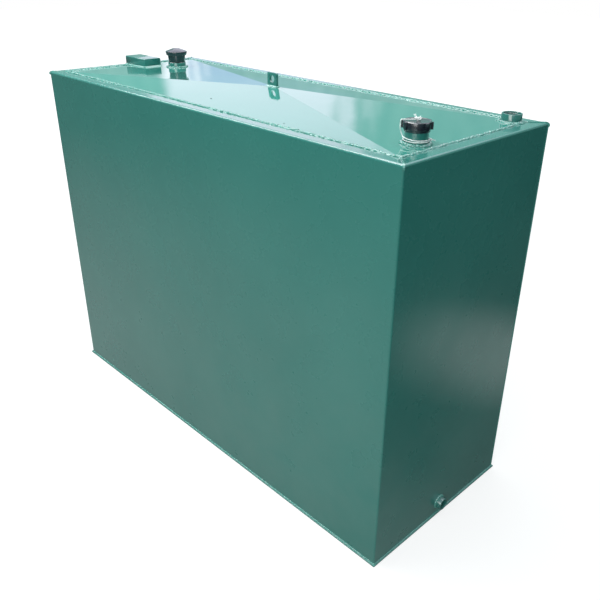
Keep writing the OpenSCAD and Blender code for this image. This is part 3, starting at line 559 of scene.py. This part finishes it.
def laid_cord(name, routes):
    strand_off, lay, count, strand_r = 0.00068, 0.0092, 3, 0.00072
    paths = [path for route in routes for path in strands(route, strand_off, lay, count)]
    return fibre_tubes(name, paths, strand_r)


def frayed(name, start, aim, count, reach, seed):
    hand = np.random.default_rng(seed)
    hair_r, paths = 0.00022, []
    for _ in range(count):
        lean = np.array(aim) + hand.normal(0, 0.45, 3)
        curl = hand.normal(0, 0.35, 3)
        t = np.linspace(0, 1, 5)[:, None]
        paths.append(np.array(start) + reach * hand.uniform(0.6, 1.0) * (lean * t + curl * t**2))
    return fibre_tubes(name, paths, hair_r)


def loop_route(middle, radius, tilt, turn):
    turns = np.linspace(0, 2 * pi * 1.12, 26)
    flat = np.stack([radius * np.cos(turns), radius * np.sin(turns), 0.0008 * turns / pi], axis=1)
    spin = Matrix.Rotation(radians(turn), 3, "Z") @ Matrix.Rotation(radians(tilt), 3, "X")
    return eased_route(np.array(middle) + flat @ np.array(spin).T)


cap_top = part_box("fill_cap")[1][2]
cord_d, tether_a = 0.0028, 226


def round_neck(radius, angle, z):
    return np.array([fill_x + radius * cos(radians(angle)), fill_y + radius * sin(radians(angle)), z])


def off_cap(*spots):
    """Points of the tether, from their distance off the cap's axis and above its top, in mm."""
    return [round_neck(r / 1000, tether_a, cap_top + z / 1000) for r, z in spots]


over = off_cap((3, 2.75), (14, 1.75), (21, 1.75), (28, 1.75), (34, 1.75), (38.5, 1.6), (41, -1.5))
drop = off_cap((41, -1.5), (41, -8), (41, -14), (40.6, -20), (39, -26))
weld_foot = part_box("fill_weld")[0][2]
turn_high, turn_low, turn_r = weld_foot + 0.01498, weld_foot + 0.00898, 0.0319
lead, wind = 8, 540
slack_out, slack_up = 0.003, 0.004
turns_done = np.linspace(0, 1, 43)
slack = np.maximum(0, 1 - 8 * turns_done)
wound = [round_neck(turn_r + slack_out * s, tether_a + lead + wind * t,
                    turn_high + (turn_low - turn_high) * t + slack_up * s) for t, s in zip(turns_done, slack)]
cord_fibre = bpy.data.materials.new("cord_fibre")
tree = node_tree(cord_fibre)
place = tree.nodes.new("ShaderNodeTexCoord").outputs["Object"]
hairs = noise(tree, place, 1800.0, 3.0, 0.7)
grime = stretch(tree, noise(tree, place, 120.0, 3.0), 0.52, 0.85)
pale = blend_colours(tree, stretch(tree, hairs, 0.35, 0.7), (0.74, 0.82, 0.81, 1), (0.93, 0.97, 0.96, 1))
bump = add_node(tree, "ShaderNodeBump", Strength=0.8, Distance=0.0003, Height=hairs)
shader = add_node(tree, "ShaderNodeBsdfPrincipled",
                  Base_Color=blend_colours(tree, grime, pale, (0.45, 0.54, 0.53, 1)),
                  Roughness=stretch(tree, hairs, 0.3, 0.7, 0.5, 0.75), Normal=bump.outputs[0])
shader.inputs["Sheen Weight"].default_value = 0.3
show(tree, shader)

cap_middle = np.array((fill_x, fill_y, cap_top))
knot, tail = cap_middle + (0, 0, 0.0036), cap_middle + (-0.0062, -0.0040, 0.0134)
knot_r = cord_d * 1.15
first_lump, last_lump = knot - (0.0030, 0.0026, -0.0012), knot + (0.0036, 0.0030, 0.0004)
knot_loops = ((knot, 1.0, 35, 0), (knot, 1.0, 70, 80), (first_lump, 1.1, 62, -95), (first_lump, 1.0, 18, 20),
              (last_lump, 1.05, 50, 150), (last_lump, 1.0, 84, 25))
knot_routes = [eased_route(over)]
knot_routes += [loop_route(middle, knot_r * size, tilt, tether_a + turn)
                for middle, size, tilt, turn in knot_loops]
knot_routes += [eased_route([cap_middle - (0, 0, 0.003), cap_middle + (0, 0, 0.001), knot]),
                eased_route([first_lump + (0, 0, 0.0028), first_lump + (-0.0016, -0.0006, 0.0058),
                             tail - (0, 0, 0.0015)])]
finished(joined(laid_cord("tether_knot_cord", knot_routes),
                frayed("tether_knot_fray", tail - (0, 0, 0.002), (-0.55, 0.15, 0.45), 14, 0.0042, 5),
                frayed("tether_lump_fray", last_lump + (0.001, 0.001, 0.003), (0.25, 0.25, 0.40),
                       9, 0.0036, 7)),
         cord_fibre, "fill_lift", "tether_cord", "tether_knot")

tie_a, tie_r = tether_a + lead + wind, cord_d * 0.95
tie_way = np.array((cos(radians(tie_a)), sin(radians(tie_a)), 0.0))
tie = wound[-1] + (tie_r + cord_d / 2) * tie_way
wrap_routes = [eased_route([drop[-1], *wound]), loop_route(tie, tie_r, 55, tie_a),
               loop_route(tie, tie_r, 80, tie_a + 70),
               eased_route([tie, tie + (0.0045, 0.0022, 0.0002), tie + (0.0085, 0.0048, -0.0010)])]
finished(joined(laid_cord("tether_wraps_cord", wrap_routes),
                frayed("tether_wraps_fray", tie + (0.0080, 0.0044, -0.0008), (0.30, 0.20, -0.10),
                       7, 0.0030, 6)),
         cord_fibre, "tank", "tether_cord", "tether_wraps")
drop_cord = laid_cord("tether_drop_cord", [eased_route(drop)])
drop_cord.data.materials.append(cord_fibre)
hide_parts("tether_drop")
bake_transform(drop_cord)

# The vent is a screwed socket welded on the panel. Its black plastic cap has a rubber seal, a
# disc of wire gauze, and a hood on ribs that lets the air out sideways.
finish_nodes(fitting_paint, "vent_pipe", "vent_socket")
socket_low, socket_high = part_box("vent_socket")
vent_x, vent_y = axis_place(socket_low, socket_high)
socket_r = socket_high[0] - vent_x
welded("vent_weld_scales", ring_route(vent_x, vent_y, socket_r),
       True, 0.0096, 0.0034, 0.0052, roll=24, wander=1.4, seed=41)
softened("vent_cap_body", "vent_cap_body_moulding", 0.0005, cap_plastic, "vent_cap", "cap_plastic")
softened("vent_cap_hood", "vent_cap_hood_moulding", 0.0005, cap_plastic, "vent_cap", "cap_plastic")
finish_nodes(seal_rubber, "vent_cap_seal")
gauze_wire = bpy.data.materials.new("gauze_wire")
tree = node_tree(gauze_wire)
place = tree.nodes.new("ShaderNodeTexCoord").outputs["Object"]
warp, weft = [add_node(tree, "ShaderNodeTexWave", {"bands_direction": side}, Vector=place,
                       Scale=200.0).outputs[1] for side in "XY"]
wires = calculate(tree, "MAXIMUM", warp, weft)
bump = add_node(tree, "ShaderNodeBump", Strength=1.0, Distance=0.0004, Height=wires)
# Near black between the wires: painted shade for the holes in the gauze.
wire_and_gap_shade_colour = blend_colours(tree, stretch(tree, wires, 0.45, 0.7),
                            (0.02, 0.02, 0.02, 1), (0.42, 0.43, 0.43, 1))
show(tree, add_node(tree, "ShaderNodeBsdfPrincipled", Metallic=1.0, Normal=bump.outputs[0],
                    Base_Color=wire_and_gap_shade_colour, Roughness=stretch(tree, wires, 0.3, 0.9, 0.6, 0.3)))
finish_nodes(gauze_wire, "vent_gauze")


# The gauge socket is a turned steel socket with a parallel pipe thread inside, left open for
# the buyer's gauge. It stands on the panel, over the end of its pipe.
def turned(name, profile):
    """A ring that is extruded and widened from point to point of a profile, (radius, height)."""
    clear_selection()
    r, z = profile[0]
    bpy.ops.mesh.primitive_circle_add(vertices=56, radius=r, location=(0, 0, 0), enter_editmode=True)
    bpy.ops.transform.translate(value=(0, 0, z))
    for (ra, za), (rb, zb) in zip(profile, profile[1:] + profile[:1]):
        bpy.ops.mesh.extrude_edges_move(TRANSFORM_OT_translate={"value": (0, 0, zb - za)})
        bpy.ops.transform.resize(value=(rb / ra, rb / ra, 1), center_override=(0, 0, zb))
    bpy.ops.mesh.select_all(action="SELECT")
    bpy.ops.mesh.remove_doubles(threshold=0.00001)
    bpy.ops.mesh.normals_make_consistent(inside=False)
    bpy.ops.object.mode_set(mode="OBJECT")
    bpy.ops.object.shade_smooth_by_angle(angle=radians(32))
    bpy.context.object.name = name
    return bpy.context.object


def thread_ridge(name, bore, depth, pitch, low, high):
    """The ridge of an inside thread, right-handed, between two heights."""
    clear_selection()
    bpy.ops.mesh.primitive_circle_add(vertices=4, radius=1, rotation=(pi / 2, 0, 0), enter_editmode=True)
    bpy.ops.transform.resize(value=(depth, 1, 0.42 * pitch), center_override=(0, 0, 0))
    bpy.ops.transform.translate(value=(bore + depth, 0, low))
    bpy.ops.object.mode_set(mode="OBJECT")
    ridge = bpy.context.object
    ridge.name = name
    bpy.ops.object.transform_apply()
    turn = ridge.modifiers.new("turn", "SCREW")
    turn.screw_offset = pitch
    turn.iterations = int((high - low) / pitch)
    turn.steps = turn.render_steps = 40
    bpy.ops.object.modifier_apply(modifier="turn")
    bpy.ops.object.mode_set(mode="EDIT")
    bpy.ops.mesh.select_all(action="SELECT")
    bpy.ops.mesh.fill_holes(sides=4)
    bpy.ops.mesh.normals_make_consistent(inside=False)
    bpy.ops.object.mode_set(mode="OBJECT")
    bpy.ops.object.shade_smooth_by_angle(angle=radians(40))
    return ridge


def put(piece, place, rotation=(0, 0, 0)):
    clear_selection()
    piece.select_set(True)
    bpy.context.view_layer.objects.active = piece
    piece.rotation_euler = rotation
    piece.location = place
    bpy.ops.object.transform_apply()
    return piece


def threaded_socket(node, thread, outer, bore, low, high, first_ridge, place, rotation=(0, 0, 0)):
    """A socket with a rounded rim and a chamfered mouth, and the thread's ridge inside it."""
    pitch, depth, lip, rounding = 0.002309, 0.0013, 0.0012, 0.0004
    groove = bore + depth
    wall = turned(node + "_turned", [
        (outer, low), (outer, high - lip), (outer - rounding, high - rounding), (outer - lip, high),
        (groove + 2 * rounding, high), (groove, high - lip), (groove, low)])
    wall = put(wall, place, rotation)
    ridge = thread_ridge(thread, bore, depth, pitch, low + first_ridge, high - 0.0018)
    return finished(joined(wall, put(ridge, place, rotation)), fitting_paint, "tank", "fitting_paint", node)


gauge_x, gauge_y = axis_place(gauge_low, gauge_high)
gauge_r = gauge_high[0] - gauge_x
threaded_socket("gauge_socket", "gauge_thread", gauge_r, 0.02242, gauge_low[2], gauge_high[2], 0.004,
                (gauge_x, gauge_y, 0))
finish_nodes(fitting_paint, "gauge_pipe")
welded("gauge_weld_scales", ring_route(gauge_x, gauge_y, gauge_r),
       True, 0.0092, 0.0032, 0.0052, roll=24, wander=1.6, seed=51)

# The bund's drain is a short one-inch socket low on the right-hand end, also left open. What
# has leaked into the bund is let out there.
drain_low, drain_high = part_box("drain_socket")
drain_z, drain_r = (drain_low[2] + drain_high[2]) / 2, (drain_high[1] - drain_low[1]) / 2
drain_place, sideways_on = (wall_x, 0, drain_z), (0, pi / 2, 0)
threaded_socket("drain_socket", "drain_thread", drain_r, 0.01515, 0, drain_high[0] - wall_x, 0.001,
                drain_place, sideways_on)
ring_r, ring_steps = drain_r + 0.0018, 32
drain_ring = [(ring_r * cos(2 * pi * i / ring_steps), ring_r * sin(2 * pi * i / ring_steps), 0.0016)
              for i in range(ring_steps)]
drain_scales = weld_scales("drain_weld_scales", drain_ring, True, 0.0068, 0.0024, 0.0042,
                           roll=45, wander=1.3, seed=52)
finished(put(drain_scales, drain_place, sideways_on), weld_paint, "tank", "weld_paint")

# The inner oil tank and what holds it off the bund have one thin coat of the same green, here
# painted much darker as painted shade, since they sit in the dark inside the bund. They are
# shut in, so they keep the CAD's own meshes.
shaded_inner_paint = sprayed_paint("shaded_inner_tank_paint", (0.020, 0.095, 0.078, 1), (0.032, 0.120, 0.100, 1),
                            0.3, 0.45, 0.3, 0.8, 0.3)
inside = ("inner_", "pipe_root", "baffle_", "bearer_")
finish_nodes(shaded_inner_paint, *[name for name in nodes if name.startswith(inside) or "_spacer_" in name])


# Spatter from the welding has stuck to the panel here and there under the paint. A lump of weld
# sits at the gauge socket's foot, and three specks of dirt lie on the panel.
def droplets(name, places, seed):
    clear_selection()
    bpy.ops.mesh.primitive_uv_sphere_add(segments=7, ring_count=5, radius=1)
    one = bpy.context.object
    bpy.ops.object.shade_smooth()
    hand = np.random.default_rng(seed)
    made = []
    for x, y, size in places:
        copy = bpy.data.objects.new(name, one.data.copy())
        bpy.context.collection.objects.link(copy)
        copy.scale = (size * hand.uniform(0.9, 1.4), size * hand.uniform(0.8, 1.2), size * 0.6)
        made.append(put(copy, (x, y, panel_z(x, y) + 0.0001)))
    bpy.data.objects.remove(one)
    return joined(*made)


hand = np.random.default_rng(77)
spots = []
vent_r, lug_r = 0.033, 0.010
for x, y, radius, count in ((fill_x, fill_y, pipe_r, 16), (vent_x, vent_y, vent_r, 12),
                            (gauge_x, gauge_y, gauge_r, 9), (lug_high[0], 0, lug_r, 8)):
    for _ in range(count):
        a, r = hand.uniform(0, 2 * pi), radius + 0.011 + abs(hand.normal(0, 0.018))
        spot_x, spot_y = x + r * cos(a), y + r * sin(a)
        if abs(spot_x) < rim_x and abs(spot_y) < rim_y:
            spots.append((spot_x, spot_y, hand.uniform(0.0005, 0.0012)))
finished(droplets("weld_spatter", spots, 78), weld_paint, "tank", "weld_paint")
lump_off = gauge_r + 0.007
lump_x, lump_y = gauge_x - 0.72 * lump_off, gauge_y - 0.70 * lump_off
lumps = ((0, 0, 0.0042), (0.0045, -0.0035, 0.0034), (-0.0040, 0.0044, 0.0036), (-0.0052, -0.0030, 0.0028))
finished(droplets("gauge_weld_lump", [(lump_x + x, lump_y + y, size) for x, y, size in lumps], 80),
         weld_paint, "tank", "weld_paint")
specks = [(0.0, -0.207, 0.0022), (0.378, -0.251, 0.0018), (0.007, -0.013, 0.0016)]
finished(droplets("dirt_specks", specks, 79), seal_rubber, "tank", "panel_paint")
